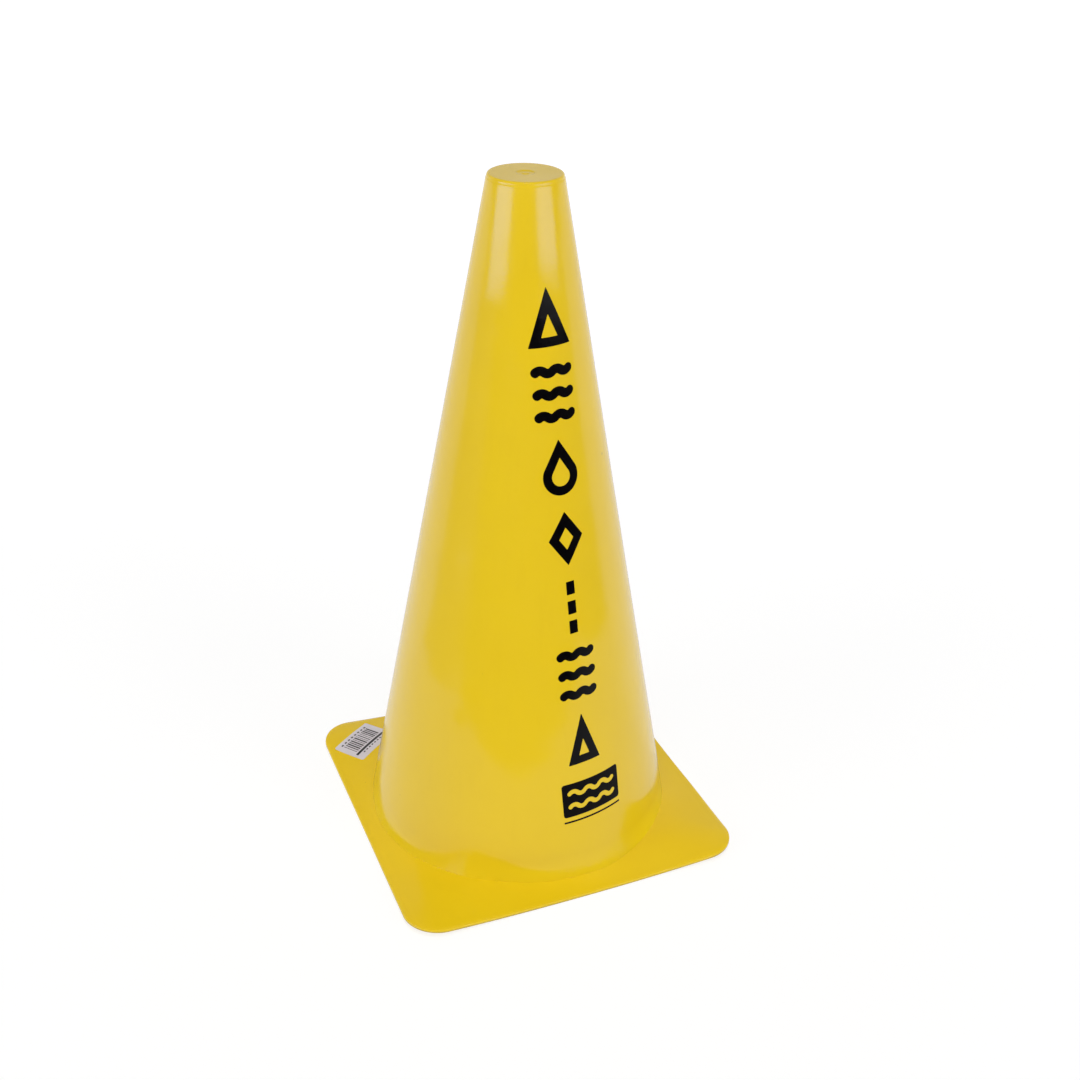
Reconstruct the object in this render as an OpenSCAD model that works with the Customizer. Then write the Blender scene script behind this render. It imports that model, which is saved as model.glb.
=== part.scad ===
// Safety cone used as a wet floor sign: one hollow injection-moulded cone on
// a square foot, seven printed pictograms, a printed panel with a rule below
// it, and a stock label stuck to the foot.
// Origin: bottom centre of the foot. +Z up, the print faces -Y.

/* [Cone] */
// Overall height
cone_h = 457; // [420:1:500]
// Outer radius of the cone wall, extended down to the floor
foot_r = 107.6; // [104:0.1:109]
// Outer radius of the top, extended up to the sharp edge
top_r = 22.9; // [22:0.1:30]
// Wall thickness, measured square to the wall
wall_t = 2; // [1.6:0.1:3]
// Thickness of the closed top
top_t = 2.6; // [2:0.1:4]
// Rounding of the top edge
top_edge_r = 1.2; // [0.8:0.1:1.8]
// Height of the thin step line below the top edge
step_drop = 2.4; // [2.2:0.1:5]
// Depth of the thin step line
step_d = 0.25; // [0.1:0.05:0.35]
// Fillet between the wall and the foot
foot_fillet = 1; // [0.5:0.5:5]

/* [Square foot] */
// Side of the square foot
foot_side = 239.4; // [236:0.2:260]
// Corner radius of the foot
foot_corner_r = 23.3; // [15:0.1:30]
// Thickness of the foot
foot_t = 2.3; // [1.8:0.1:4]

/* [Gate mark] */
// Radius of the shallow recess round the gate
gate_recess_r = 5.6; // [5:0.1:8]
// Depth of the recess
gate_recess_d = 0.5; // [0.3:0.05:0.8]
// Radius of the gate stub in the middle
gate_stub_r = 2.2; // [1.5:0.1:3]
// Height of the gate stub, below the flat of the top
gate_stub_h = 0.3; // [0.1:0.05:0.3]

/* [Print] */
// Thickness of the ink
ink_t = 0.3; // [0.1:0.05:0.4]
// Height of one pictogram
mark_h = 35.6; // [33:0.2:37]
// Spacing of the pictograms along the slope
mark_pitch = 46.4; // [44:0.1:46.6]
// Distance of the first pictogram's middle from the top, along the slope
mark_first = 77; // [70:0.5:80]
// Width of a wide pictogram
mark_w = 27.6; // [24:0.2:30]
// Width of a narrower pictogram
mark_narrow_w = 23.8; // [20:0.2:26]
// Width of the lines that the pictograms are drawn with
stroke = 5.8; // [4:0.1:6.4]
// How far the whole print is turned on the cone, in degrees
print_turn = 2.1; // [0:0.1:4]
// Sideways place of the first pictogram's middle, along the surface
print_shift = 0.4; // [-4:0.1:4]

/* [Panel] */
// Width of the printed panel
panel_w = 44.4; // [36:0.2:48]
// Height of the printed panel
panel_h = 24.6; // [20:0.2:25.4]
// Corner radius of the panel
panel_corner_r = 2; // [1:0.1:4]
// Distance of the panel's middle from the top, along the slope
panel_s = 398.4; // [397.5:0.1:400]
// Sideways place of the panel's middle
panel_shift = 15.9; // [8:0.1:18]
// Height of the rule under the panel
rule_h = 1.3; // [0.8:0.1:1.8]
// Distance of the rule from the top, along the slope
rule_s = 414.4; // [414:0.1:417]

/* [Stock label] */
// Length of the label
label_l = 38.4; // [30:0.2:39]
// Width of the label
label_w = 27; // [20:0.2:27.6]
// Corner radius of the label
label_corner_r = 1.5; // [0.5:0.1:3]
// Thickness of the label
label_t = 0.15; // [0.1:0.05:0.3]
// Thickness of the label's ink
label_ink_t = 0.1; // [0.1:0.05:0.2]
// Turn of the label on the foot, in degrees
label_turn = 36.6; // [30:0.2:44]

/* [Hidden] */
$fn = 96;

yellow = [0.89, 0.77, 0.13];
ink = [0.03, 0.03, 0.04];
paper = [0.86, 0.86, 0.90];

// slope of the wall: radius lost for each millimetre of height
taper = (foot_r - top_r) / cone_h;
half_angle = atan(taper);
wall_r = wall_t / cos(half_angle);
// outer radius at a height, and the height at a distance down the slope
function r_at(z) = foot_r - taper * z;
function z_at(s) = cone_h - s * cos(half_angle);
// straight width whose ends lie a given arc length apart on a round surface
function chord(w, r) = 2 * r * sin(w / 2 / r * 180 / PI);

// the middle of the label, clear of the cone and inside the foot's edge
label_at = [-90.5, 90.4];

// ---------- cone and foot, one moulding ----------

// fillet between the wall and the foot, left over between the two lines
module fillet_profile() {
    f = foot_fillet;
    k = f * tan(45 + half_angle / 2 - half_angle);
    x0 = r_at(foot_t);
    difference() {
        polygon([[x0 - 0.8, foot_t - 0.8], [x0 + k, foot_t - 0.8],
                 [x0 + k, foot_t], [r_at(foot_t + k * cos(half_angle)), foot_t + k * cos(half_angle)],
                 [r_at(foot_t + k * cos(half_angle)) - 0.8, foot_t + k * cos(half_angle)]]);
        translate([x0 + k, foot_t + f]) circle(r = f);
    }
}

module wall_profile() {
    step_z = cone_h - step_drop;
    difference() {
        union() {
            // cone up to the step line, then the slightly smaller rim
            polygon([[0, 0], [foot_r, 0], [r_at(step_z), step_z],
                     [r_at(step_z) - step_d, step_z + step_d],
                     [top_r - step_d + taper * top_edge_r, cone_h - top_edge_r],
                     [top_r - step_d + taper * top_edge_r - top_edge_r, cone_h - top_edge_r],
                     [top_r - step_d + taper * top_edge_r - top_edge_r, cone_h],
                     [0, cone_h]]);
            translate([top_r - step_d + taper * top_edge_r - top_edge_r, cone_h - top_edge_r])
                circle(r = top_edge_r);
            fillet_profile();
        }
        // hollow, open at the foot
        polygon([[0, -1], [r_at(-1) - wall_r, -1],
                 [r_at(cone_h - top_t) - wall_r, cone_h - top_t], [0, cone_h - top_t]]);
        // nothing left of the axis
        translate([-300, -10]) square([300, cone_h + 20]);
    }
}

module gate_mark() {
    difference() {
        translate([0, 0, cone_h - gate_recess_d]) cylinder(r = gate_recess_r, h = gate_recess_d + 1);
        translate([0, 0, cone_h - gate_recess_d - 1]) cylinder(r = gate_stub_r, h = gate_stub_h + 1);
    }
}

module foot_plate() {
    a = foot_side / 2 - foot_corner_r;
    difference() {
        linear_extrude(height = foot_t) union() {
            square([foot_side, 2 * a], center = true);
            square([2 * a, foot_side], center = true);
            for (x = [-a, a], y = [-a, a]) translate([x, y]) circle(r = foot_corner_r);
        }
        translate([0, 0, -1]) cylinder(r = foot_r - wall_r / 2, h = foot_t + 2);
    }
}

module cone_shell() color(yellow) {
    difference() {
        union() {
            rotate_extrude() wall_profile();
            foot_plate();
        }
        gate_mark();
    }
}

// ---------- print on the cone ----------

// a skin of ink between two distances down the slope
module ink_skin(s_top, s_low) {
    z1 = z_at(s_top);
    z0 = z_at(s_low);
    t = ink_t / cos(half_angle);
    rotate_extrude() polygon([[r_at(z0), z0], [r_at(z0) + t, z0],
                              [r_at(z1) + t, z1], [r_at(z1), z1]]);
}

// puts a flat outline on the cone: x sideways, y up the slope
module on_cone(s, shift, deep = 9) {
    z = z_at(s);
    r = r_at(z);
    intersection() {
        rotate([0, 0, shift / r * 180 / PI])
            translate([0, -r, z])
                rotate([90 - half_angle, 0, 0])
                    rotate([0, 0, print_turn])
                        translate([0, 0, -deep]) linear_extrude(height = deep + 4) children();
        ink_skin(s - 30, s + 30);
    }
}

// place of pictogram n, counted from 0 at the top
function mark_s(n) = mark_first + mark_pitch * n;
function mark_u(n) = print_shift + mark_pitch * n * tan(print_turn);

module triangle(w, h) polygon([[-w / 2, -h / 2], [w / 2, -h / 2], [0, h / 2]]);

// triangle drawn as a line of even width
module triangle_line(w, h, t) {
    a = atan(2 * h / w);
    lift = t;
    half = w / 2 - t / tan(a / 2);
    difference() {
        triangle(w, h);
        translate([0, -h / 2 + lift]) polygon([[-half, 0], [half, 0], [0, half * tan(a)]]);
    }
}

// outline of a drop with its round end down: a point, then an arc of n parts
function drop_points(r, d, n = 30) =
    let (a = acos(r / d))
    concat([[0, d]], [for (i = [0 : n])
        let (b = 90 - a - i * (360 - 2 * a) / n) [r * cos(b), r * sin(b)]]);

module drop_line(w, h, t) {
    r = w / 2;
    d = h - r;
    translate([0, -h / 2 + r]) difference() {
        polygon(drop_points(r, d));
        polygon(drop_points(r - t, d * (r - t) / r));
    }
}

module diamond_line(w, h, t) {
    a = atan(h / w);
    k = t / sin(a);
    difference() {
        polygon([[-w / 2, 0], [0, -h / 2], [w / 2, 0], [0, h / 2]]);
        polygon([[-w / 2 + k, 0], [0, -(w / 2 - k) * h / w], [w / 2 - k, 0], [0, (w / 2 - k) * h / w]]);
    }
}

// one edge of a wavy line of n equal arcs, t/2 above (side 1) or below (side -1)
// its middle line; each arc turns through twice the bend, in k parts
function wave_edge(w, t, n, bend, side, k = 6) =
    let (c = w / n, r = c / 2 / sin(bend))
    [for (i = [0 : n - 1], j = [0 : (i == n - 1 ? k : k - 1)])
        let (up = i % 2 == 0 ? 1 : -1,
             b = -bend + 2 * bend * j / k,
             q = r + up * side * t / 2)
        [-w / 2 + c * (i + 0.5) + q * sin(b), up * (q * cos(b) - r * cos(bend))]];
function reversed(v) = [for (i = [len(v) - 1 : -1 : 0]) v[i]];
// round end of such a line at x, turned clockwise from an angle
function wave_end(x, t, angle, k = 6) =
    [for (j = [1 : k - 1]) let (a = angle - 180 * j / k) [x + t / 2 * cos(a), t / 2 * sin(a)]];

// a wavy line of an even number of arcs, w between the middles of its round ends
module wave_line(w, t, n, bend)
    polygon(concat(wave_edge(w, t, n, bend, 1), wave_end(w / 2, t, 90 + bend),
                   reversed(wave_edge(w, t, n, bend, -1)), wave_end(-w / 2, t, 270 + bend)));

module waves(w, h, t) {
    bend = 42;
    n = 4;
    mid_w = w - t;
    rise = mid_w / n / 2 / sin(bend) * (1 - cos(bend));
    gap = (h - 2 * rise - t) / 2;
    for (k = [-1 : 1]) translate([0, k * gap]) wave_line(mid_w, t, n, bend);
}

module mark_1_triangle() color(ink)
    on_cone(mark_s(0), mark_u(0)) triangle_line(chord(mark_w, r_at(z_at(mark_s(0)))), mark_h, stroke);

module mark_2_waves() color(ink)
    on_cone(mark_s(1), mark_u(1)) waves(chord(mark_w, r_at(z_at(mark_s(1)))), mark_h, stroke);

module mark_3_drop() color(ink)
    on_cone(mark_s(2), mark_u(2)) drop_line(mark_narrow_w, mark_h, stroke);

module mark_4_diamond() color(ink)
    on_cone(mark_s(3), mark_u(3)) diamond_line(mark_narrow_w, mark_h, stroke);

module mark_5_blocks() color(ink)
    on_cone(mark_s(4), mark_u(4)) {
        b = mark_h / 4;
        for (k = [-1 : 1]) translate([0, k * (mark_h - b) / 2]) square([stroke, b], center = true);
    }

module mark_6_waves() color(ink)
    on_cone(mark_s(5), mark_u(5)) waves(mark_w, mark_h, stroke);

module mark_7_triangle() color(ink)
    on_cone(mark_s(6), mark_u(6)) triangle_line(mark_narrow_w, mark_h, stroke);

// printed panel with two wavy lines left free of ink
module panel() color(ink)
    on_cone(panel_s, panel_shift) {
        a = panel_w / 2 - panel_corner_r;
        b = panel_h / 2 - panel_corner_r;
        difference() {
            union() {
                square([panel_w, 2 * b], center = true);
                square([2 * a, panel_h], center = true);
                for (x = [-a, a], y = [-b, b]) translate([x, y]) circle(r = panel_corner_r);
            }
            for (y = [-panel_h * 0.2, panel_h * 0.2])
                translate([0, y]) wave_line(panel_w * 0.76, panel_h * 0.13, 6, 50);
        }
    }

module panel_rule() color(ink)
    on_cone(rule_s, panel_shift + (rule_s - panel_s) * tan(print_turn))
        square([panel_w, rule_h], center = true);

// ---------- stock label on the foot ----------

module on_label(z, h)
    translate([label_at[0], label_at[1], z]) rotate([0, 0, label_turn]) linear_extrude(height = h) children();

module label_sheet() color(paper)
    on_label(foot_t, label_t) {
        a = label_l / 2 - label_corner_r;
        b = label_w / 2 - label_corner_r;
        union() {
            square([label_l, 2 * b], center = true);
            square([2 * a, label_w], center = true);
            for (x = [-a, a], y = [-b, b]) translate([x, y]) circle(r = label_corner_r);
        }
    }

// plain stripes of three widths
function stripe_w(i) = [0.5, 0.9, 1.3][(i * 7 + floor(i / 3)) % 3];
module label_bars() color(ink)
    on_label(foot_t + label_t, label_ink_t)
        for (i = [0 : 13]) translate([-label_l * 0.36 + i * label_l * 0.7 / 13, label_w * 0.085])
            square([stripe_w(i), label_w * 0.44], center = true);

module label_rule() color(ink)
    on_label(foot_t + label_t, label_ink_t)
        translate([-label_l * 0.015, -label_w * 0.222]) square([label_l * 0.84, 2], center = true);

module label_dashes() color(ink)
    on_label(foot_t + label_t, label_ink_t) {
        for (i = [0 : 7]) translate([-label_l * 0.35 + i * label_l * 0.1, label_w * 0.375])
            square([label_l * 0.05, 1.3], center = true);
        for (i = [0 : 6]) translate([-label_l * 0.28 + i * label_l * 0.085, -label_w * 0.32])
            square([label_l * 0.045, 1.1], center = true);
    }

cone_shell();
mark_1_triangle();
mark_2_waves();
mark_3_drop();
mark_4_diamond();
mark_5_blocks();
mark_6_waves();
mark_7_triangle();
panel();
panel_rule();
label_sheet();
label_bars();
label_rule();
label_dashes();
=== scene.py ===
import math

import bmesh
import bpy
import numpy as np
from mathutils import Matrix, Vector


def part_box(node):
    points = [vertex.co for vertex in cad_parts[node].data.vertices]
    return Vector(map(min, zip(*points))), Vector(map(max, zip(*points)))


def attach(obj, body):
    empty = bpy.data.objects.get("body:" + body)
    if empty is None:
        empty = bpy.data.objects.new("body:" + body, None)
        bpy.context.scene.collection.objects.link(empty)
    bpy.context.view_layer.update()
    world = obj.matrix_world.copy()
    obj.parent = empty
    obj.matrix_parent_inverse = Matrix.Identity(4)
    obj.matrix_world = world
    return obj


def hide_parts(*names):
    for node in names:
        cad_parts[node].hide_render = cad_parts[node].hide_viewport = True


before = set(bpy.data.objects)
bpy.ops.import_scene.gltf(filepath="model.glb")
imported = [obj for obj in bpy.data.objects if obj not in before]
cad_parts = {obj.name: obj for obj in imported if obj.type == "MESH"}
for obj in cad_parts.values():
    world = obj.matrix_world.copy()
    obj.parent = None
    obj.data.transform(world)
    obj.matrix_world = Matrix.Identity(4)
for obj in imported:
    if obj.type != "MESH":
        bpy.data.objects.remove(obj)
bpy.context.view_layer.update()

# ------------------------------------------------------------------ sizes, in mm, from the frame
lo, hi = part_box("cone_shell")
H = (hi[2] - lo[2]) * 1000.0
SIDE = (hi[0] - lo[0]) * 1000.0
CORNER = 23.3
R_FOOT, R_TOP = 107.6, 22.9
TAPER = (R_FOOT - R_TOP) / H
HALF = math.atan(TAPER)
WALL = 2.0
PLATE = 2.3
INK = 0.05
BODY = "root"


def r_out(z):
    """Outer radius of the wall at a height: a cone that is drawn in by a third of a millimetre half way up."""
    return R_FOOT - TAPER * z - 0.35 * np.sin(np.pi * np.clip(z / H, 0.0, 1.0))


# ------------------------------------------------------------------ mesh helpers
def obj_from(name, verts, faces, smooth=True, scale=0.001):
    me = bpy.data.meshes.new(name)
    me.from_pydata([tuple(v) for v in (np.asarray(verts, float) * scale)], [], faces)
    me.validate()
    ob = bpy.data.objects.new(name, me)
    bpy.context.scene.collection.objects.link(ob)
    for p in me.polygons:
        p.use_smooth = smooth
    return ob


def square_ring(side, corner, n_side=60, n_corner=26, bow=0.0):
    """Points round a square with round corners, anticlockwise, and how far each stands into a corner (0 to 1)."""
    h = side / 2 - corner
    pts = []
    cs = [(1, 1), (-1, 1), (-1, -1), (1, -1)]
    for k, (sx, sy) in enumerate(cs):
        a = np.linspace(k * math.pi / 2, (k + 1) * math.pi / 2, n_corner + 1)
        for t in a:
            pts.append((sx * h + corner * math.cos(t), sy * h + corner * math.sin(t)))
        nx, ny = cs[(k + 1) % 4]
        e0 = np.array([sx * h + corner * math.cos(a[-1]), sy * h + corner * math.sin(a[-1])])
        e1 = np.array([nx * h + corner * math.cos(a[-1]), ny * h + corner * math.sin(a[-1])])
        nrm = np.array([math.cos(a[-1]), math.sin(a[-1])])
        for s in np.linspace(0, 1, n_side + 1)[1:-1]:
            pts.append(tuple(e0 + (e1 - e0) * s + nrm * bow * math.sin(math.pi * s)))
    return np.array(pts)


RIM = square_ring(SIDE, CORNER, bow=-0.8)
# the plate was trimmed a little off centre: its edge stands further out on the +x side, most past the front corner
_w = (RIM[:, 0] / (SIDE / 2) + 1) / 2
_t = np.clip((RIM[:, 1] + 112.0) / 80.0, 0, 1)
RIM[:, 0] += 1.25 * (1 - _w) + _w * (0.9 + 2.4 * _t * _t * (3 - 2 * _t))
N = len(RIM)
ANG = np.unwrap(np.arctan2(RIM[:, 1], RIM[:, 0]))
COS, SIN = np.cos(ANG), np.sin(ANG)

# ------------------------------------------------------------------ the foot is a little warped, as moulded plates are
EDGE_Z = PLATE    # top of the plate at the middle of a side
CORNER_LIFT = 4.9


def crease_z(th):
    """Height at which the plate meets the wall: it is drawn up towards the four corners."""
    return 6.6 - 1.4 * np.cos(4 * th)


def plateau(th, mid, half):
    """1 at an angle mid, falling smoothly to 0 at half to each side of it, in degrees."""
    x = (np.degrees(th) - mid + 180) % 360 - 180
    return np.clip(1 - np.clip(np.abs(x) / half, 0, 1) ** 4, 0, 1) ** 2


def r_wall(th, z):
    """The wall's radius. Just over the foot it stands a little steeper along the four sides, most at the front."""
    lean = (0.122 * plateau(th, -104, 28) + 0.03 * plateau(th, 180, 28) + 0.06 * plateau(th, 90, 30) + 0.04 * plateau(th, 0, 28))
    u = np.clip((35.0 - z) / 12.0, 0, 1)
    drop = 12.0 * (u ** 3 - u ** 4 / 2) + np.clip(23.0 - z, 0, None)
    return r_out(z) - lean * drop


def rim_top(x, y):
    u, v = np.abs(x) / (SIDE / 2), np.abs(y) / (SIDE / 2)
    return EDGE_Z + CORNER_LIFT * np.clip(u * v, 0, 1) ** 2


FILLET = 0.12
RIM_R = np.hypot(RIM[:, 0], RIM[:, 1])
RIM_Z = rim_top(RIM[:, 0], RIM[:, 1])
_a = np.arctan2(RIM[:, 1], RIM[:, 0])
_o = np.argsort(_a)
A_SORT, R_SORT, Z_SORT = _a[_o], RIM_R[_o], RIM_Z[_o]


def plate_top(x, y):
    """Top of the foot plate at a point outside the wall."""
    a = np.arctan2(y, x)
    zc = crease_z(a)
    rc = r_wall(a, zc) + FILLET
    rr = np.interp(a, A_SORT, R_SORT, period=2 * math.pi)
    zz = np.interp(a, A_SORT, Z_SORT, period=2 * math.pi)
    s = np.clip((np.hypot(x, y) - rc) / (rr - rc), 0, 1)
    e = s * (2 - s) * 0.5 + s * 0.5
    return zc + (zz - zc) * e


def ring(r, z):
    return np.stack([r * COS, r * SIN, np.broadcast_to(np.asarray(z, float), (N,))], 1)


def circle(r, z):
    return np.stack([r * COS, r * SIN, np.full(N, float(z))], 1)


# ------------------------------------------------------------------ cone shell
def arc(cx, cz, r, a0, a1, n):
    """(r, z) points of an arc, angles in degrees, 0 along +r, 90 along +z."""
    return [(cx + r * math.cos(math.radians(a)), cz + r * math.sin(math.radians(a))) for a in np.linspace(a0, a1, n)]


def shell_rings():
    rings = []
    # top: gate mark with the broken-off nub, then the flat disc, very slightly sunk
    prof = [(0.7, H - 0.20), (1.3, H - 0.16), (1.75, H - 0.2), (2.1, H - 0.34), (2.35, H - 0.5), (2.7, H - 0.58),
            (3.3, H - 0.6), (4.2, H - 0.6), (4.7, H - 0.57), (5.1, H - 0.4), (5.4, H - 0.2), (5.75, H - 0.1), (6.2, H - 0.08),
            (8.0, H - 0.09), (11.0, H - 0.08), (15.0, H - 0.05)]
    er = 1.5
    cx = R_TOP - 0.25 + TAPER * er - er
    prof += [(cx - 2.5, H - 0.01), (cx - 1.0, H)]
    prof += arc(cx, H - er, er, 90, HALF * 180 / math.pi, 9)
    zl = H - 2.35
    prof += [(R_TOP - 0.25 + TAPER * (H - zl) - 0.02, zl + 0.12), (R_TOP - 0.16 + TAPER * (H - zl), zl - 0.04),
             (float(r_out(zl - 0.25)) - 0.03, zl - 0.2), (float(r_out(zl - 0.6)), zl - 0.6)]
    for r, z in prof:
        rings.append(circle(r, z))
    # wall, with closer rings towards the foot
    f = FILLET
    zc = crease_z(ANG)
    lift = f * math.tan(math.radians(45) - HALF / 2) * math.cos(HALF)
    z_top = zl - 0.6
    steps = np.concatenate([np.linspace(0, 0.90, 46)[1:], np.linspace(0.90, 1.0, 21)[1:]])
    for t in steps:
        z = z_top + (zc + lift - z_top) * t
        if t == 1.0:
            rings.append(ring(r_wall(ANG, z + 0.15), z + 0.15))
        rings.append(ring(r_wall(ANG, z), z))
    # small fillet down to the plate, held between two close rings
    x_hit = r_wall(ANG, zc)
    fcx = x_hit + f * math.tan(math.radians(45) - HALF / 2)
    a0 = 180 + HALF * 180 / math.pi
    for a in np.linspace(a0, 270, 7)[1:]:
        c, s_ = math.cos(math.radians(a)), math.sin(math.radians(a))
        rings.append(ring(fcx + f * c, zc + f + f * s_))
    # plate out to the rim
    inner = np.stack([fcx * COS, fcx * SIN], 1)
    er2 = 0.75
    edge_in = RIM - (RIM / RIM_R[:, None]) * er2
    for s in [0.003] + list(np.linspace(0, 1, 14)[1:]):
        p = inner + (edge_in - inner) * s
        rings.append(np.concatenate([p, plate_top(p[:, 0], p[:, 1])[:, None]], 1))
    # rounded edge of the plate, measured along the outward normal of the rim
    tang = np.roll(RIM, -1, 0) - np.roll(RIM, 1, 0)
    tang /= np.linalg.norm(tang, axis=1)[:, None]
    nrm = np.stack([tang[:, 1], -tang[:, 0]], 1)
    top = RIM_Z
    for a in np.linspace(90, 0, 6)[1:]:
        c, s_ = math.cos(math.radians(a)), math.sin(math.radians(a))
        p = RIM - nrm * er2 * (1 - c)
        rings.append(np.concatenate([p, (top - er2 * (1 - s_))[:, None]], 1))
    er3 = 0.45
    rings.append(np.concatenate([RIM + nrm * 0.0, (top - PLATE + er3 + 0.35)[:, None]], 1))
    for a in np.linspace(0, -90, 5):
        c, s_ = math.cos(math.radians(a)), math.sin(math.radians(a))
        p = RIM - nrm * er3 * (1 - c)
        rings.append(np.concatenate([p, (top - PLATE + er3 * (1 + s_))[:, None]], 1))
    # underside in to the mouth
    thick = WALL / math.cos(HALF)
    zb = zc - PLATE
    r_m = r_wall(ANG, zb) - thick
    mouth = np.stack([(r_m + 1.0) * COS, (r_m + 1.0) * SIN], 1)
    under_out = RIM - nrm * er3
    for s in np.linspace(0, 1, 12)[1:]:
        p = under_out + (mouth - under_out) * s
        rings.append(np.concatenate([p, (plate_top(p[:, 0], p[:, 1]) - PLATE)[:, None]], 1))
    # rounded mouth, then the inside of the wall
    rings.append(ring(r_m + 0.35, zb + 0.25))
    rings.append(ring(r_m, zb + 0.9))
    z_in = H - 2.7
    for t in np.concatenate([np.linspace(0, 0.1, 13)[1:], np.linspace(0.1, 1, 36)[1:]]):
        z = (zb + 0.9) + (z_in - 2.5 - (zb + 0.9)) * t
        rings.append(ring(r_wall(ANG, z) - thick, z))
    r_it = float(r_out(z_in)) - WALL / math.cos(HALF)
    for a in (25, 50, 70, 90):
        rings.append(circle(r_it - 2.2 + 2.2 * math.cos(math.radians(a)), z_in - 2.2 + 2.2 * math.sin(math.radians(a))))
    for r in (14.0, 8.0, 4.5, 4.0, 1.6):
        rings.append(circle(r, z_in - (0.0 if r > 4.2 else 0.6)))
    return rings


def lathe(name, rings, cap_top, cap_end):
    verts = [cap_top]
    for r in rings:
        verts += [tuple(v) for v in r]
    verts.append(cap_end)
    faces = []
    for k in range(N):
        faces.append((0, 1 + k, 1 + (k + 1) % N))
    for i in range(len(rings) - 1):
        a, b = 1 + i * N, 1 + (i + 1) * N
        for k in range(N):
            k2 = (k + 1) % N
            faces.append((a + k, b + k, b + k2, a + k2))
    last = 1 + (len(rings) - 1) * N
    end = len(verts) - 1
    for k in range(N):
        faces.append((end, last + (k + 1) % N, last + k))
    return obj_from(name, verts, faces)


rings = shell_rings()
shell = lathe("cone_moulding", rings, (0.15, 0.1, H - 0.24), (0, 0, H - 3.3))
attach(shell, BODY)
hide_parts("cone_shell")


# ------------------------------------------------------------------ flat outlines, then thin pieces bent onto a surface
def flat_piece(name, loops, place, step_x=1.0, step_y=4.0, under=0.08, over=INK, round_in=0.0):
    """loops: closed lists of (x, y) in mm, holes included. place(xy, height) gives 3-D points in mm."""
    bm = bmesh.new()
    edges = []
    for loop in loops:
        vs = [bm.verts.new((x, y, 0)) for x, y in loop]
        for i in range(len(vs)):
            edges.append(bm.edges.new((vs[i], vs[(i + 1) % len(vs)])))
    bmesh.ops.triangle_fill(bm, use_beauty=True, use_dissolve=False, edges=edges, normal=(0, 0, 1))
    xs = [p[0] for loop in loops for p in loop]
    ys = [p[1] for loop in loops for p in loop]
    for ax, a0, a1, st in ((0, min(xs), max(xs), step_x), (1, min(ys), max(ys), step_y)):
        n = int((a1 - a0) / st)
        for i in range(1, n + 1):
            c = a0 + (a1 - a0) * i / (n + 1)
            co = (c, 0, 0) if ax == 0 else (0, c, 0)
            no = (1, 0, 0) if ax == 0 else (0, 1, 0)
            geom = bm.verts[:] + bm.edges[:] + bm.faces[:]
            bmesh.ops.bisect_plane(bm, geom=geom, dist=1e-5, plane_co=co, plane_no=no)
    bmesh.ops.recalc_face_normals(bm, faces=bm.faces[:])
    if bm.faces and bm.faces[:][0].normal.z < 0:
        bmesh.ops.reverse_faces(bm, faces=bm.faces[:])
    bm.verts.index_update()
    flat = [(v.co.x, v.co.y) for v in bm.verts]
    tris = [[v.index for v in f.verts] for f in bm.faces]
    edge_loops = []
    for f in bm.faces:
        for lp in f.loops:
            if len(lp.edge.link_faces) == 1:
                edge_loops.append((lp.vert.index, lp.link_loop_next.vert.index))
    bm.free()
    xy = np.array(flat)
    n = len(xy)
    top = place(xy, over)
    low = place(xy, -under)
    verts = np.concatenate([top, low])
    faces = [tuple(t) for t in tris] + [tuple(i + n for i in reversed(t)) for t in tris]
    faces += [(a, a + n, b + n, b) for a, b in edge_loops]
    ob = obj_from(name, verts, faces, smooth=True)
    # the surface's own normals on the two faces, and a crisp thin edge
    me = ob.data
    e = 0.02
    dx = place(xy + (e, 0), over) - place(xy - (e, 0), over)
    dy = place(xy + (0, e), over) - place(xy - (0, e), over)
    nn = np.cross(dx, dy)
    nn /= np.linalg.norm(nn, axis=1)[:, None]
    split = []
    for p in me.polygons:
        side = any(v >= n for v in p.vertices) and any(v < n for v in p.vertices)
        for v in p.vertices:
            split.append(tuple(p.normal) if side else tuple(nn[v]) if v < n else tuple(-nn[v - n]))
    me.normals_split_custom_set(split)
    return ob


def on_cone(u0, s0, turn):
    """Wraps (x, y) onto the wall: x sideways along the surface, y up the slope."""
    c, s = math.cos(math.radians(turn)), math.sin(math.radians(turn))

    def place(xy, height):
        x = xy[:, 0] * c - xy[:, 1] * s
        y = xy[:, 0] * s + xy[:, 1] * c
        slant = s0 - y
        z = H - slant * math.cos(HALF)
        r = r_out(z)
        th = (u0 + x) / r
        rr = r + height * math.cos(HALF)
        zz = z + height * math.sin(HALF)
        return np.stack([rr * np.sin(th), -rr * np.cos(th), zz], 1)

    return place


def densify(loop, step=1.2):
    out = []
    for i in range(len(loop)):
        a, b = np.array(loop[i], float), np.array(loop[(i + 1) % len(loop)], float)
        n = max(1, int(np.linalg.norm(b - a) / step))
        for k in range(n):
            out.append(tuple(a + (b - a) * k / n))
    return out


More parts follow.
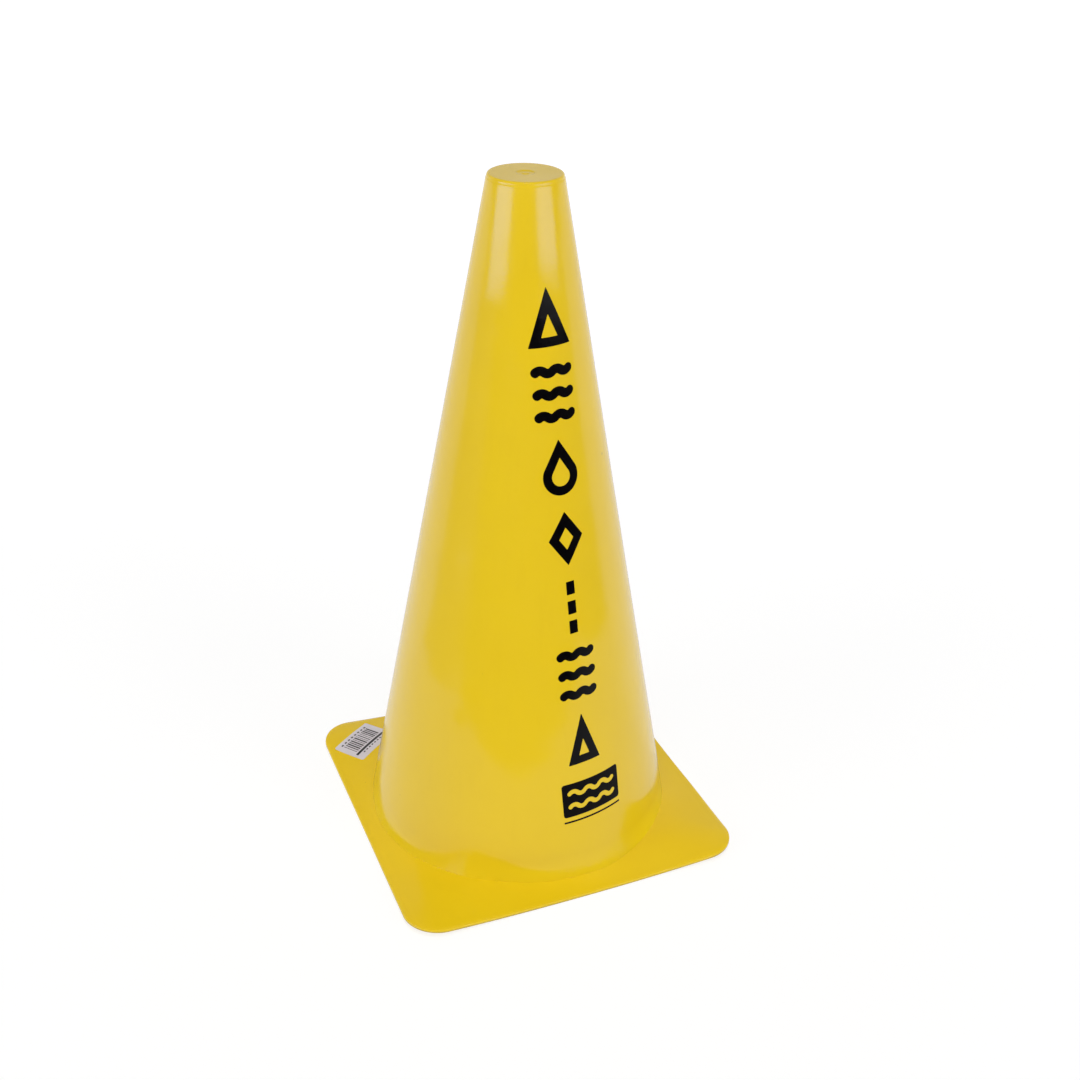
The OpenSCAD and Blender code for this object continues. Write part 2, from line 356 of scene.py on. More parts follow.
def soften(loop, r=0.35, n=4):
    """Rounds each sharp corner of a loop by r, as screen-printed ink is."""
    out = []
    m = len(loop)
    for i in range(m):
        p0, p1, p2 = (np.array(loop[(i + d) % m], float) for d in (-1, 0, 1))
        d0, d2 = p0 - p1, p2 - p1
        l0, l2 = np.linalg.norm(d0), np.linalg.norm(d2)
        cosang = float(np.dot(d0, d2) / (l0 * l2))
        if cosang < -0.94:
            out.append(tuple(p1))
            continue
        half = math.acos(max(-1, min(1, cosang))) / 2
        cut = min(r / math.tan(half), 0.45 * l0, 0.45 * l2)
        a, b = p1 + d0 / l0 * cut, p1 + d2 / l2 * cut
        for k in range(n + 1):
            t = k / n
            out.append(tuple((1 - t) ** 2 * a + 2 * t * (1 - t) * p1 + t * t * b))
    return out


STROKE = 5.8
MARK_H = 35.6


def triangle_loops(w, h, t):
    a = math.atan(2 * h / w)
    half = w / 2 - t / math.tan(a / 2)
    return [[(-w / 2, -h / 2), (w / 2, -h / 2), (0, h / 2)],
            [(-half, -h / 2 + t), (half, -h / 2 + t), (0, -h / 2 + t + half * math.tan(a))]]


def drop_loops(w, h, t):
    def one(r, d, n=64):
        a = math.acos(r / d)
        pts = [(0.0, d)]
        for i in range(n + 1):
            b = math.pi / 2 - a - i * (2 * math.pi - 2 * a) / n
            pts.append((r * math.cos(b), r * math.sin(b)))
        return [(x, y - h / 2 + w / 2) for x, y in pts]

    r = w / 2
    d = h - r
    return [one(r, d), one(r - t, d * (r - t) / r)]


def diamond_loops(w, h, t):
    a = math.atan(h / w)
    k = t / math.sin(a)
    q = w / 2 - k
    return [[(-w / 2, 0), (0, -h / 2), (w / 2, 0), (0, h / 2)], [(-q, 0), (0, -q * h / w), (q, 0), (0, q * h / w)]]


def wave_loop(w, t, n, bend, cy, k=14):
    c = w / n
    r = c / 2 / math.sin(bend)

    def side(sgn):
        pts = []
        for i in range(n):
            up = 1 if i % 2 == 0 else -1
            for j in range(k + (1 if i == n - 1 else 0)):
                b = -bend + 2 * bend * j / k
                q = r + up * sgn * t / 2
                pts.append((-w / 2 + c * (i + 0.5) + q * math.sin(b), cy + up * (q * math.cos(b) - r * math.cos(bend))))
        return pts

    def end(x, a0):
        a = [a0 - math.pi * j / k for j in range(1, k)]
        return [(x + t / 2 * math.cos(b), cy + t / 2 * math.sin(b)) for b in a]

    return side(1) + end(w / 2, math.pi / 2 + bend) + side(-1)[::-1] + end(-w / 2, 3 * math.pi / 2 + bend)


def waves_loops(w, h, t):
    bend = math.radians(42)
    mid = w - t
    rise = mid / 4 / 2 / math.sin(bend) * (1 - math.cos(bend))
    gap = (h - 2 * rise - t) / 2
    return [wave_loop(mid, t, 4, bend, k * gap) for k in (-1, 0, 1)]


def blocks_loops(w, h):
    b = h / 4
    out = []
    for k in (-1, 0, 1):
        y = k * (h - b) / 2
        out.append([(-w / 2, y - b / 2), (w / 2, y - b / 2), (w / 2, y + b / 2), (-w / 2, y + b / 2)])
    return out


def round_rect(w, h, r, n=8, cx=0.0, cy=0.0):
    pts = []
    for sx, sy, a0 in ((1, 1, 0), (-1, 1, 90), (-1, -1, 180), (1, -1, 270)):
        for i in range(n + 1):
            a = math.radians(a0 + 90 * i / n)
            pts.append((cx + sx * (w / 2 - r) + r * math.cos(a), cy + sy * (h / 2 - r) + r * math.sin(a)))
    return pts


TURN = 2.1
marks = [
    ("mark_1_triangle", triangle_loops(27.6, MARK_H, STROKE)),
    ("mark_2_waves", waves_loops(27.6, MARK_H, STROKE)),
    ("mark_3_drop", drop_loops(23.8, MARK_H, STROKE)),
    ("mark_4_diamond", diamond_loops(23.8, MARK_H, STROKE)),
    ("mark_5_blocks", blocks_loops(STROKE, MARK_H)),
    ("mark_6_waves", waves_loops(27.6, MARK_H, STROKE)),
    ("mark_7_triangle", triangle_loops(23.8, MARK_H, STROKE)),
]
ink_pieces = []
for i, (node, loops) in enumerate(marks):
    s0 = 77 + 46.4 * i
    u0 = 0.4 + 46.4 * i * math.tan(math.radians(TURN))
    loops = [densify(soften(l) if len(l) < 12 else l) for l in loops]
    ob = flat_piece("ink_" + node, loops, on_cone(u0, s0, TURN))
    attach(ob, BODY)
    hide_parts(node)
    ink_pieces.append(ob)

PANEL_W, PANEL_H = 44.4, 24.6
bend = math.radians(50)
panel_loops = [densify(round_rect(PANEL_W, PANEL_H, 2.0))]
for y in (-PANEL_H * 0.2, PANEL_H * 0.2):
    panel_loops.append(wave_loop(PANEL_W * 0.76, PANEL_H * 0.13, 6, bend, y, k=10))
ob = flat_piece("ink_panel", panel_loops, on_cone(15.9, 398.4, TURN))
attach(ob, BODY)
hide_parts("panel")
ink_pieces.append(ob)
ob = flat_piece("ink_panel_rule", [densify(soften([(-PANEL_W / 2, -0.65), (PANEL_W / 2, -0.65), (PANEL_W / 2, 0.65), (-PANEL_W / 2, 0.65)], 0.25))],
                on_cone(15.9 + 16 * math.tan(math.radians(TURN)), 414.4, TURN))
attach(ob, BODY)
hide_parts("panel_rule")
ink_pieces.append(ob)

# ------------------------------------------------------------------ stock label on the foot
LX, LY, LT = -90.5, 90.4, 36.6
LL, LW = 38.4, 27.0


def on_plate(xy, height):
    c, s = math.cos(math.radians(LT)), math.sin(math.radians(LT))
    x = LX + xy[:, 0] * c - xy[:, 1] * s
    y = LY + xy[:, 0] * s + xy[:, 1] * c
    z = plate_top(x, y)
    # the free end of the paper lifts a little, and a crease crosses it
    u, v = xy[:, 0] / (LL / 2), xy[:, 1] / (LW / 2)
    curl = 0.55 * np.clip(u - 0.55, 0, None) ** 2 / 0.2 + 0.25 * np.clip(-u * 0.7 + v * 0.7 - 0.9, 0, None) ** 2 / 0.2
    crease = 0.10 * np.exp(-((xy[:, 0] - 6.5 + 0.25 * xy[:, 1]) / 0.9) ** 2)
    return np.stack([x, y, z + 0.02 + curl + crease + height], 1)


sheet = flat_piece("label_paper", [densify(round_rect(LL, LW, 1.5), 1.0)], on_plate, step_x=0.8, step_y=0.8, under=0.0, over=0.14)
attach(sheet, BODY)
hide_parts("label_sheet")


def rects(items):
    return [densify([(cx - w / 2, cy - h / 2), (cx + w / 2, cy - h / 2), (cx + w / 2, cy + h / 2), (cx - w / 2, cy + h / 2)], 0.9)
            for cx, cy, w, h in items]


def label_print(name, node, items):
    ob = flat_piece(name, rects(items), lambda xy, h: on_plate(xy, h + 0.14), step_x=0.8, step_y=0.8, under=0.02, over=0.03)
    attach(ob, BODY)
    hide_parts(node)
    return ob


stripe = [0.5, 0.9, 1.3]
bars = [(-LL * 0.36 + i * LL * 0.7 / 13, LW * 0.085, stripe[(i * 7 + i // 3) % 3], LW * 0.44) for i in range(14)]
label_inks = [
    label_print("label_bars_print", "label_bars", bars),
    label_print("label_rule_print", "label_rule", [(-LL * 0.015, -LW * 0.222, LL * 0.84, 2.0)]),
    label_print("label_dashes_print", "label_dashes",
                [(-LL * 0.35 + i * LL * 0.1, LW * 0.375, LL * 0.05, 1.3) for i in range(8)]
                + [(-LL * 0.28 + i * LL * 0.085, -LW * 0.32, LL * 0.045, 1.1) for i in range(7)]),
]


# ------------------------------------------------------------------ materials
def new_mat(name):
    m = bpy.data.materials.new(name)
    m.use_nodes = True
    nt = m.node_tree
    nt.nodes.clear()
    out = nt.nodes.new("ShaderNodeOutputMaterial")
    bs = nt.nodes.new("ShaderNodeBsdfPrincipled")
    nt.links.new(bs.outputs["BSDF"], out.inputs["Surface"])
    return m, nt, bs


def N_(nt, kind, **kw):
    n = nt.nodes.new(kind)
    for k, v in kw.items():
        if k in n.inputs.keys():
            n.inputs[k].default_value = v
        else:
            setattr(n, k, v)
    return n


def math_(nt, op, a, b=None, c=None, clamp=False):
    n = nt.nodes.new("ShaderNodeMath")
    n.operation = op
    n.use_clamp = clamp
    for i, v in enumerate((a, b, c)):
        if v is None:
            continue
        if isinstance(v, (int, float)):
            n.inputs[i].default_value = v
        else:
            nt.links.new(v, n.inputs[i])
    return n.outputs[0]


def ramp(nt, fac, stops):
    n = nt.nodes.new("ShaderNodeMapRange")
    n.clamp = True
    nt.links.new(fac, n.inputs["Value"])
    n.inputs["From Min"].default_value, n.inputs["From Max"].default_value = stops[0], stops[1]
    n.inputs["To Min"].default_value, n.inputs["To Max"].default_value = stops[2], stops[3]
    return n.outputs["Result"]


def noise(nt, vec, scale, detail=2.0, rough=0.5):
    n = nt.nodes.new("ShaderNodeTexNoise")
    n.inputs["Scale"].default_value = scale
    n.inputs["Detail"].default_value = detail
    n.inputs["Roughness"].default_value = rough
    nt.links.new(vec, n.inputs["Vector"])
    return n.outputs["Fac"]


def mix_col(nt, fac, a, b):
    n = nt.nodes.new("ShaderNodeMix")
    n.data_type = "RGBA"
    nt.links.new(fac, n.inputs["Factor"]) if not isinstance(fac, (int, float)) else setattr(n.inputs["Factor"], "default_value", fac)
    for sock, v in ((n.inputs["A"], a), (n.inputs["B"], b)):
        pass
    ia = [s for s in n.inputs if s.name == "A" and s.type == "RGBA"][0]
    ib = [s for s in n.inputs if s.name == "B" and s.type == "RGBA"][0]
    for sock, v in ((ia, a), (ib, b)):
        if isinstance(v, tuple):
            sock.default_value = (*v, 1.0)
        else:
            nt.links.new(v, sock)
    return [s for s in n.outputs if s.type == "RGBA"][0]


def coords_mm(nt):
    tc = nt.nodes.new("ShaderNodeTexCoord")
    sc = nt.nodes.new("ShaderNodeVectorMath")
    sc.operation = "SCALE"
    sc.inputs["Scale"].default_value = 1000.0
    nt.links.new(tc.outputs["Object"], sc.inputs[0])
    return sc.outputs["Vector"]


YELLOW = (0.765, 0.524, 0.007)
plastic, nt, bs = new_mat("moulded_yellow_polyethylene")
mm = coords_mm(nt)
sep = nt.nodes.new("ShaderNodeSeparateXYZ")
nt.links.new(mm, sep.inputs[0])
X, Y, Z = sep.outputs
rho = math_(nt, "SQRT", math_(nt, "ADD", math_(nt, "MULTIPLY", X, X), math_(nt, "MULTIPLY", Y, Y)))
# the inner face and the underside look towards the axis or down
facing = nt.nodes.new("ShaderNodeTexCoord")
face = nt.nodes.new("ShaderNodeSeparateXYZ")
nt.links.new(facing.outputs["Normal"], face.inputs[0])
outward = math_(nt, "ADD", math_(nt, "MULTIPLY", face.outputs[0], X), math_(nt, "MULTIPLY", face.outputs[1], Y))
outward = math_(nt, "DIVIDE", outward, math_(nt, "MAXIMUM", rho, 1.0))
inside = ramp(nt, math_(nt, "ADD", math_(nt, "MULTIPLY", outward, 0.5), face.outputs[2]), (-0.05, -0.25, 0.0, 1.0))

cloud = noise(nt, mm, 0.018, 3.0, 0.55)
col = mix_col(nt, ramp(nt, cloud, (0.35, 0.65, 0.0, 1.0)), YELLOW, (0.78, 0.538, 0.008))
# faint flow marks that run down the wall
stretch = nt.nodes.new("ShaderNodeVectorMath")
stretch.operation = "MULTIPLY"
stretch.inputs[1].default_value = (0.12, 0.12, 0.008)
nt.links.new(mm, stretch.inputs[0])
flow = noise(nt, stretch.outputs["Vector"], 1.0, 3.0, 0.6)
col = mix_col(nt, ramp(nt, flow, (0.55, 0.8, 0.0, 0.25)), col, (0.72, 0.484, 0.007))
# a few fine dark specks of dirt
vor = nt.nodes.new("ShaderNodeTexVoronoi")
vor.feature = "F1"
vor.inputs["Scale"].default_value = 0.045
vor.inputs["Randomness"].default_value = 1.0
nt.links.new(mm, vor.inputs["Vector"])
speck = ramp(nt, vor.outputs["Distance"], (0.018, 0.010, 0.0, 1.0))
col = mix_col(nt, math_(nt, "MULTIPLY", speck, 0.6), col, (0.22, 0.15, 0.03))
# two small rubbed marks: one on the right of the wall, one on the rim of the top
for at_mm, size, strength in (((39.3, -37.8, 286.5), 1.5, 0.45), ((-18.3, -10.1, 456.6), 1.3, 0.30)):
    gap = nt.nodes.new("ShaderNodeVectorMath")
    gap.operation = "DISTANCE"
    nt.links.new(mm, gap.inputs[0])
    gap.inputs[1].default_value = at_mm
    rubbed = ramp(nt, gap.outputs["Value"], (size, size * 0.3, 0.0, strength))
    col = mix_col(nt, rubbed, col, (0.30, 0.22, 0.05))
# light scuffs, more of them on the edge of the foot
scuff_v = nt.nodes.new("ShaderNodeVectorMath")
scuff_v.operation = "MULTIPLY"
scuff_v.inputs[1].default_value = (0.9, 0.25, 0.6)
nt.links.new(mm, scuff_v.inputs[0])
scuff = ramp(nt, noise(nt, scuff_v.outputs["Vector"], 0.7, 5.0, 0.75), (0.66, 0.76, 0.0, 1.0))
low = ramp(nt, Z, (9.0, 1.0, 0.0, 1.0))
edge = ramp(nt, rho, (112.0, 119.0, 0.0, 1.0))
wear = math_(nt, "MULTIPLY", scuff, math_(nt, "ADD", 0.15, math_(nt, "MULTIPLY", math_(nt, "MULTIPLY", low, edge), 0.5)))
col = mix_col(nt, wear, col, (0.78, 0.60, 0.12))
# painted light: the lowest part of the outer wall, just over the foot, is made brighter to lift the shade in the crease
painted_light_low_wall = math_(nt, "MULTIPLY", ramp(nt, Z, (24.0, 9.0, 0.0, 1.0)), ramp(nt, face.outputs[2], (0.55, 0.30, 0.0, 1.0)))
painted_light_low_wall = math_(nt, "MULTIPLY", painted_light_low_wall, math_(nt, "SUBTRACT", 1.0, inside))
painted_light_low_wall = math_(nt, "MULTIPLY", painted_light_low_wall, ramp(nt, rho, (R_FOOT + 2.0, R_FOOT + 1.0, 0.0, 1.0)))
col = mix_col(nt, painted_light_low_wall, col, (0.83, 0.597, 0.0115))
# painted light: brighter still towards the +x side of the foot
col = mix_col(nt, math_(nt, "MULTIPLY", painted_light_low_wall, ramp(nt, X, (44.0, 64.0, 0.0, 1.0))), col, (0.91, 0.675, 0.010))
# painted shade: a patchy darker line along the lower half of the foot's edge, standing in for the contact shadow where
# the foot meets the floor
ax, ay = math_(nt, "ABSOLUTE", X), math_(nt, "ABSOLUTE", Y)
qx = math_(nt, "MAXIMUM", math_(nt, "SUBTRACT", ax, SIDE / 2 - CORNER), 0.0)
qy = math_(nt, "MAXIMUM", math_(nt, "SUBTRACT", ay, SIDE / 2 - CORNER), 0.0)
out_by = math_(nt, "SQRT", math_(nt, "ADD", math_(nt, "MULTIPLY", qx, qx), math_(nt, "MULTIPLY", qy, qy)))
uv = math_(nt, "DIVIDE", math_(nt, "MULTIPLY", ax, ay), (SIDE / 2) ** 2)
lift_z = math_(nt, "MULTIPLY", math_(nt, "MULTIPLY", uv, uv), CORNER_LIFT)
above = math_(nt, "SUBTRACT", Z, lift_z)
# painted shade mask: the lower half of the rim, outside the rounded corners
painted_contact_shade = math_(nt, "MULTIPLY", ramp(nt, above, (1.5, 0.8, 0.0, 1.0)), ramp(nt, out_by, (CORNER - 2.2, CORNER - 1.2, 0.0, 1.0)))
painted_contact_shade = math_(nt, "MULTIPLY", painted_contact_shade, ramp(nt, noise(nt, mm, 0.08, 3.0, 0.6), (0.3, 0.7, 0.35, 0.75)))
col = mix_col(nt, painted_contact_shade, col, (0.34, 0.25, 0.04))
# painted shade: the flat top disc is made darker than the wall and foot
painted_shade_top_disc = math_(nt, "MULTIPLY", ramp(nt, Z, (H - 1.2, H - 0.9, 0.0, 1.0)), ramp(nt, rho, (R_TOP - 0.6, R_TOP - 1.4, 0.0, 1.0)))
col = mix_col(nt, math_(nt, "MULTIPLY", painted_shade_top_disc, 0.8), col, (0.66, 0.455, 0.012))
nt.links.new(col, bs.inputs["Base Color"])
rough = math_(nt, "ADD", 0.10, math_(nt, "MULTIPLY", noise(nt, mm, 0.06, 4.0, 0.6), 0.07))
rough = math_(nt, "ADD", rough, math_(nt, "MULTIPLY", wear, 0.25))
rough = math_(nt, "ADD", rough, math_(nt, "MULTIPLY", inside, 0.22))
nt.links.new(rough, bs.inputs["Roughness"])
bs.inputs["IOR"].default_value = 1.51
bs.inputs["Specular Tint"].default_value = (0.06, 0.34, 1.0, 1.0)
# fine draw marks run down the wall, so the gloss is smeared sideways
bs.inputs["Anisotropic"].default_value = 0.95
# orange peel, and slow waves in the wall
peel = noise(nt, mm, 0.55, 2.0, 0.5)
slow = noise(nt, mm, 0.03, 1.0, 0.4)
b1 = nt.nodes.new("ShaderNodeBump")
b1.inputs["Strength"].default_value = 1.0
b1.inputs["Distance"].default_value = 0.00003
nt.links.new(peel, b1.inputs["Height"])
b2 = nt.nodes.new("ShaderNodeBump")
b2.inputs["Strength"].default_value = 1.0
b2.inputs["Distance"].default_value = 0.0006
nt.links.new(slow, b2.inputs["Height"])
nt.links.new(b1.outputs["Normal"], b2.inputs["Normal"])
nt.links.new(b2.outputs["Normal"], bs.inputs["Normal"])

def ink_mat(name, gloss, rough):
    m, nt, bs = new_mat(name)
    mm = coords_mm(nt)
    g = noise(nt, mm, 0.35, 4.0, 0.6)
    col = mix_col(nt, ramp(nt, g, (0.35, 0.7, 0.0, 1.0)), (0.0006, 0.0005, 0.0010), (0.0022, 0.0018, 0.0026))
    pin = ramp(nt, noise(nt, mm, 2.4, 2.0, 0.5), (0.77, 0.81, 0.0, 0.25))
    col = mix_col(nt, pin, col, (0.10, 0.065, 0.004))
    nt.links.new(col, bs.inputs["Base Color"])
    nt.links.new(math_(nt, "ADD", rough, math_(nt, "MULTIPLY", noise(nt, mm, 0.8, 3.0), 0.06)), bs.inputs["Roughness"])
    bs.inputs["IOR"].default_value = 1.46
    bs.inputs["Specular IOR Level"].default_value = gloss
    bs.inputs["Anisotropic"].default_value = 0.6
    b1 = nt.nodes.new("ShaderNodeBump")
    b1.inputs["Strength"].default_value = 1.0
    b1.inputs["Distance"].default_value = 0.00002
    nt.links.new(noise(nt, mm, 3.0, 2.0), b1.inputs["Height"])
    nt.links.new(b1.outputs["Normal"], bs.inputs["Normal"])
    return m


ink = ink_mat("screen_print_black", 0.16, 0.13)
ink_matt = ink_mat("screen_print_black_matt", 0.10, 0.30)

paper, nt, bs = new_mat("coated_label_paper")
mm = coords_mm(nt)
fib = noise(nt, mm, 1.8, 6.0, 0.7)
col = mix_col(nt, ramp(nt, fib, (0.3, 0.7, 0.0, 1.0)), (0.60, 0.57, 0.63), (0.66, 0.63, 0.68))
stain = noise(nt, mm, 0.10, 3.0, 0.6)
col = mix_col(nt, ramp(nt, stain, (0.55, 0.75, 0.0, 0.35)), col, (0.52, 0.48, 0.50))
nt.links.new(col, bs.inputs["Base Color"])
nt.links.new(math_(nt, "ADD", 0.42, math_(nt, "MULTIPLY", fib, 0.2)), bs.inputs["Roughness"])
b1 = nt.nodes.new("ShaderNodeBump")
b1.inputs["Strength"].default_value = 1.0
b1.inputs["Distance"].default_value = 0.00004
nt.links.new(noise(nt, mm, 0.5, 4.0, 0.6), b1.inputs["Height"])
nt.links.new(b1.outputs["Normal"], bs.inputs["Normal"])

thermal, nt, bs = new_mat("thermal_print")
mm = coords_mm(nt)
fade = noise(nt, mm, 0.16, 3.0, 0.6)
grain = noise(nt, mm, 5.0, 2.0, 0.6)
col = mix_col(nt, ramp(nt, fade, (0.45, 0.75, 0.0, 0.6)), (0.012, 0.011, 0.016), (0.07, 0.065, 0.075))
col = mix_col(nt, ramp(nt, grain, (0.6, 0.8, 0.0, 0.25)), col, (0.22, 0.20, 0.23))
nt.links.new(col, bs.inputs["Base Color"])
nt.links.new(math_(nt, "ADD", 0.45, math_(nt, "MULTIPLY", grain, 0.15)), bs.inputs["Roughness"])

shell.data.materials.append(plastic)
for ob in ink_pieces:
    ob.data.materials.append(ink_matt if "panel" in ob.name else ink)
sheet.data.materials.append(paper)
for ob in label_inks:
    ob.data.materials.append(thermal)


# ------------------------------------------------------------------ stage
def stage_mat(name, col, rough=0.6, spec=0.3):
    m, nt, bs = new_mat(name)
    bs.inputs["Base Color"].default_value = (*col, 1)
    bs.inputs["Roughness"].default_value = rough
    bs.inputs["Specular IOR Level"].default_value = spec
    return m


def plane(name, pts, mat):
    me = bpy.data.meshes.new(name)
    me.from_pydata(pts, [], [tuple(range(len(pts)))])
    ob = bpy.data.objects.new(name, me)
    bpy.context.scene.collection.objects.link(ob)
    ob.data.materials.append(mat)
    return ob


floor_mat, nt, bs = new_mat("floor_white")
bs.inputs["Base Color"].default_value = (0.22, 0.22, 0.22, 1)
bs.inputs["Roughness"].default_value = 0.8
bs.inputs["Specular IOR Level"].default_value = 0.0
bs.inputs["Emission Color"].default_value = (1, 1, 1, 1)
tc = nt.nodes.new("ShaderNodeTexCoord")
far = nt.nodes.new("ShaderNodeVectorMath")
far.operation = "LENGTH"
nt.links.new(tc.outputs["Object"], far.inputs[0])
nt.links.new(ramp(nt, far.outputs["Value"], (0.3, 3.0, 0.79, 0.90)), bs.inputs["Emission Strength"])
floor = plane("floor", [(-12, -12, 0), (12, -12, 0), (12, 12, 0), (-12, 12, 0)], floor_mat)

AZ, EL, ROLL, DIST = math.radians(-22.977), math.radians(29.185), math.radians(1.19), 0.933486
back = Vector((math.sin(AZ) * math.cos(EL), -math.cos(AZ) * math.cos(EL), math.sin(EL)))
right = (-back).cross(Vector((0, 0, 1))).normalized()
up = right.cross(-back)
target = Vector((0, 0, 0.2285)) + right * 0.012806 + up * (-0.013936)
loc = target + back * DIST
r2 = right * math.cos(ROLL) + up * math.sin(ROLL)
u2 = -right * math.sin(ROLL) + up * math.cos(ROLL)
cam_data = bpy.data.cameras.new("camera")
cam = bpy.data.objects.new("camera", cam_data)
bpy.context.scene.collection.objects.link(cam)
cam.matrix_world = Matrix(((r2.x, u2.x, back.x, loc.x), (r2.y, u2.y, back.y, loc.y), (r2.z, u2.z, back.z, loc.z), (0, 0, 0, 1)))
cam_data.sensor_fit = "HORIZONTAL"
cam_data.sensor_width = 36.0
cam_data.lens = 1415.0 / 1080.0 * 36.0
cam_data.clip_start, cam_data.clip_end = 0.01, 100
bpy.context.scene.camera = cam

# dark card on the studio floor in front of the sweep, seen only in the gloss
fw = Vector((math.sin(AZ), -math.cos(AZ), 0))
sd = Vector((fw.y, -fw.x, 0))


def at(f, s, z):
    p = fw * f + sd * s
    return (p.x, p.y, z)


def gloss_only(ob):
    ob.visible_camera = False
    ob.visible_diffuse = False
    ob.visible_shadow = False
    ob.visible_transmission = False


def polar(a, r, z):
    """A point at an angle from the camera's side, to the right seen from the camera."""
    return at(r * math.cos(a), -r * math.sin(a), z)


black = stage_mat("card_black", (0.05, 0.05, 0.05), 0.9, 0.0)
# the white sheet under the cone ends a short way in front and at both sides; beyond it the gloss sees a dark floor
F_EDGE, S_LEFT, S_RIGHT, F_BACK = 0.378, -0.46, 0.585, -0.05
room_mat, nt, bs = new_mat("dark_floor")
bs.inputs["Base Color"].default_value = (0.0, 0.0, 0.0, 1)
bs.inputs["Roughness"].default_value = 1.0
bs.inputs["Specular IOR Level"].default_value = 0.0
bs.inputs["Emission Color"].default_value = (1, 1, 1, 1)
tc = nt.nodes.new("ShaderNodeTexCoord")


def along(nt, vec, d):
    n = nt.nodes.new("ShaderNodeVectorMath")
    n.operation = "DOT_PRODUCT"
    n.inputs[1].default_value = d
    nt.links.new(vec, n.inputs[0])
    return n.outputs["Value"]


pf = along(nt, tc.outputs["Object"], (fw.x, fw.y, 0))
ps = along(nt, tc.outputs["Object"], (-sd.x, -sd.y, 0))
angle = math_(nt, "MULTIPLY", math_(nt, "ARCTAN2", ps, pf), 180 / math.pi)
left_side = ramp(nt, angle, (-47.0, -54.0, 0.0, 1.0))
right_side = ramp(nt, angle, (45.0, 70.0, 0.0, 1.0))
near_wall = ramp(nt, pf, (0.12, -0.05, 0.0, 0.14))
glow = math_(nt, "ADD", 0.02, math_(nt, "MULTIPLY", left_side, math_(nt, "ADD", 0.29, near_wall)))
glow = math_(nt, "ADD", glow, math_(nt, "MULTIPLY", right_side, 0.10))
# a small lit patch far to the left
dx = math_(nt, "DIVIDE", math_(nt, "ADD", ps, 0.94), 0.085)
dy = math_(nt, "DIVIDE", math_(nt, "SUBTRACT", pf, 0.50), 0.20)
spot = ramp(nt, math_(nt, "ADD", math_(nt, "MULTIPLY", dx, dx), math_(nt, "MULTIPLY", dy, dy)), (1.0, 0.0, 0.0, 0.75))
nt.links.new(math_(nt, "ADD", glow, spot), bs.inputs["Emission Strength"])
card = plane("dark_floor", [at(f, -s, 0.002) for f, s in (
    (F_BACK, S_LEFT), (F_EDGE, S_LEFT), (F_EDGE, S_RIGHT), (F_BACK, S_RIGHT), (F_BACK, 11.9), (11.9, 11.9), (11.9, -11.9), (F_BACK, -11.9))], room_mat)
gloss_only(card)
sheet_mat, nt, bs = new_mat("sheet_gloss")
bs.inputs["Base Color"].default_value = (0.0, 0.0, 0.0, 1)
bs.inputs["Roughness"].default_value = 1.0
bs.inputs["Specular IOR Level"].default_value = 0.0
bs.inputs["Emission Color"].default_value = (1, 1, 1, 1)
tc = nt.nodes.new("ShaderNodeTexCoord")
pf = along(nt, tc.outputs["Object"], (fw.x, fw.y, 0))
ps = along(nt, tc.outputs["Object"], (-sd.x, -sd.y, 0))
angle = math_(nt, "MULTIPLY", math_(nt, "ARCTAN2", ps, pf), 180 / math.pi)
glow = math_(nt, "ADD", 0.64, math_(nt, "ADD", ramp(nt, angle, (-15.0, -60.0, 0.0, 0.34)), ramp(nt, angle, (30.0, 75.0, 0.0, 0.24))))
nt.links.new(glow, bs.inputs["Emission Strength"])
front_sheet = plane("front_sheet", [at(f, -s, 0.0005) for f, s in ((F_BACK, S_LEFT), (F_EDGE + 0.01, S_LEFT), (F_EDGE + 0.01, S_RIGHT), (F_BACK, S_RIGHT))], sheet_mat)
gloss_only(front_sheet)
clip = plane("sheet_clip", [at(0.315 + 0.045 * math.cos(a), 0.335 + 0.036 * math.sin(a), 0.003) for a in np.linspace(0, 2 * math.pi, 25)[:-1]], black)
gloss_only(clip)


def soft_box(name, azimuth, dist, corners, radiance, fade, tilt):
    """A glowing sheet that faces the cone, seen only in the gloss. corners: (across, height) in m, to the right seen
    from the camera. It fades out between the two heights of fade, along a line that is tilted by tilt."""
    mat, nt, bs = new_mat(name + "_glow")
    bs.inputs["Base Color"].default_value = (0.0, 0.0, 0.0, 1)
    bs.inputs["Roughness"].default_value = 1.0
    bs.inputs["Specular IOR Level"].default_value = 0.0
    bs.inputs["Emission Color"].default_value = (1, 1, 1, 1)
    a = math.radians(azimuth)
    across = sd * -math.cos(a) - fw * math.sin(a)
    tc = nt.nodes.new("ShaderNodeTexCoord")
    level = along(nt, tc.outputs["Object"], (-tilt * across.x, -tilt * across.y, 1.0))
    nt.links.new(ramp(nt, level, (fade[0], fade[1], 0.0, radiance)), bs.inputs["Emission Strength"])
    pts = []
    for x, z in corners:
        p = Vector(polar(a, dist, z)) + across * x
        pts.append(tuple(p))
    ob = plane(name, pts, mat)
    gloss_only(ob)
    return ob


def far_light(name, azimuth, elevation, strength, spread):
    """A broad soft light a long way off, so it lights the cone alike from top to foot."""
    d = bpy.data.lights.new(name, "SUN")
    d.energy = strength
    d.angle = math.radians(spread)
    ob = bpy.data.objects.new(name, d)
    bpy.context.scene.collection.objects.link(ob)
    e = math.radians(elevation)
    p = Vector(polar(math.radians(azimuth), math.cos(e), math.sin(e)))
    ob.rotation_euler = (-p).to_track_quat("-Z", "Y").to_euler()
    ob.visible_glossy = False
    return ob


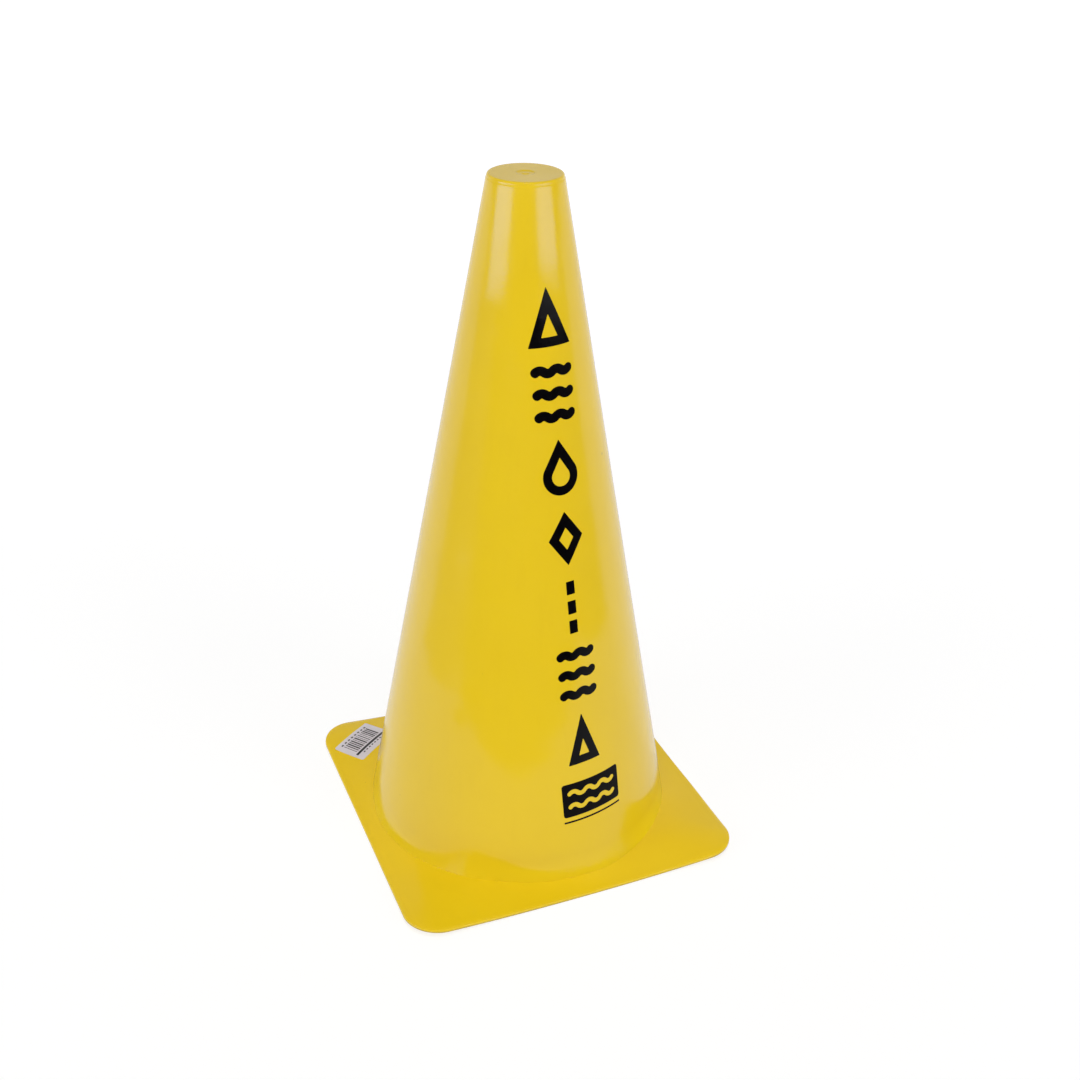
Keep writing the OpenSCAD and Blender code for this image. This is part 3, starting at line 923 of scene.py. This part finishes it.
soft_box("box_left", -57, 1.6, [(-0.50, 0.29), (0.62, 0.37), (0.68, 0.60), (0.68, 0.97), (-0.72, 0.97), (-0.68, 0.47)], 4.8, (0.334, 0.410), 0.075)
soft_box("box_right", 53, 1.6, [(-0.64, 0.40), (0.46, 0.30), (0.62, 0.35), (0.70, 0.50), (0.70, 0.97), (-0.66, 0.97)], 4.1, (0.355, 0.432), -0.09)
far_light("left_far", -57, 16, 0.77, 30)
far_light("right_far", 53, 16, 0.86, 30)
far_light("top_far", 0, 76, 1.66, 32)

# the room: white sweep behind and at the sides, darker room on the camera's side
world = bpy.data.worlds.new("studio")
bpy.context.scene.world = world
world.use_nodes = True
wnt = world.node_tree
bg = wnt.nodes["Background"]
tc = wnt.nodes.new("ShaderNodeTexCoord")
dot = wnt.nodes.new("ShaderNodeVectorMath")
dot.operation = "DOT_PRODUCT"
dot.inputs[1].default_value = (fw.x, fw.y, 0)
wnt.links.new(tc.outputs["Generated"], dot.inputs[0])
sp = wnt.nodes.new("ShaderNodeSeparateXYZ")
wnt.links.new(tc.outputs["Generated"], sp.inputs[0])
behind = ramp(wnt, dot.outputs["Value"], (-0.14, -0.36, 0.0, 1.0))
back_l = ramp(wnt, sp.outputs["Z"], (0.20, 0.80, 0.74, 0.20))
front_l = ramp(wnt, sp.outputs["Z"], (-0.03, 0.07, 0.08, 0.26))
mixw = wnt.nodes.new("ShaderNodeMix")
mixw.data_type = "FLOAT"
wnt.links.new(behind, mixw.inputs[0])
wnt.links.new(front_l, mixw.inputs[2])
wnt.links.new(back_l, mixw.inputs[3])
# the right end of the room is a little dimmer
sideways = wnt.nodes.new("ShaderNodeVectorMath")
sideways.operation = "DOT_PRODUCT"
sideways.inputs[1].default_value = (-sd.x, -sd.y, 0)
wnt.links.new(tc.outputs["Generated"], sideways.inputs[0])
dim = ramp(wnt, sideways.outputs["Value"], (0.45, 0.90, 1.0, 0.78))
wnt.links.new(math_(wnt, "MULTIPLY", mixw.outputs[0], dim), bg.inputs["Strength"])
bg.inputs["Color"].default_value = (1, 1, 1, 1)

bpy.context.scene.view_settings.view_transform = "Standard"
bpy.context.scene.view_settings.look = "None"
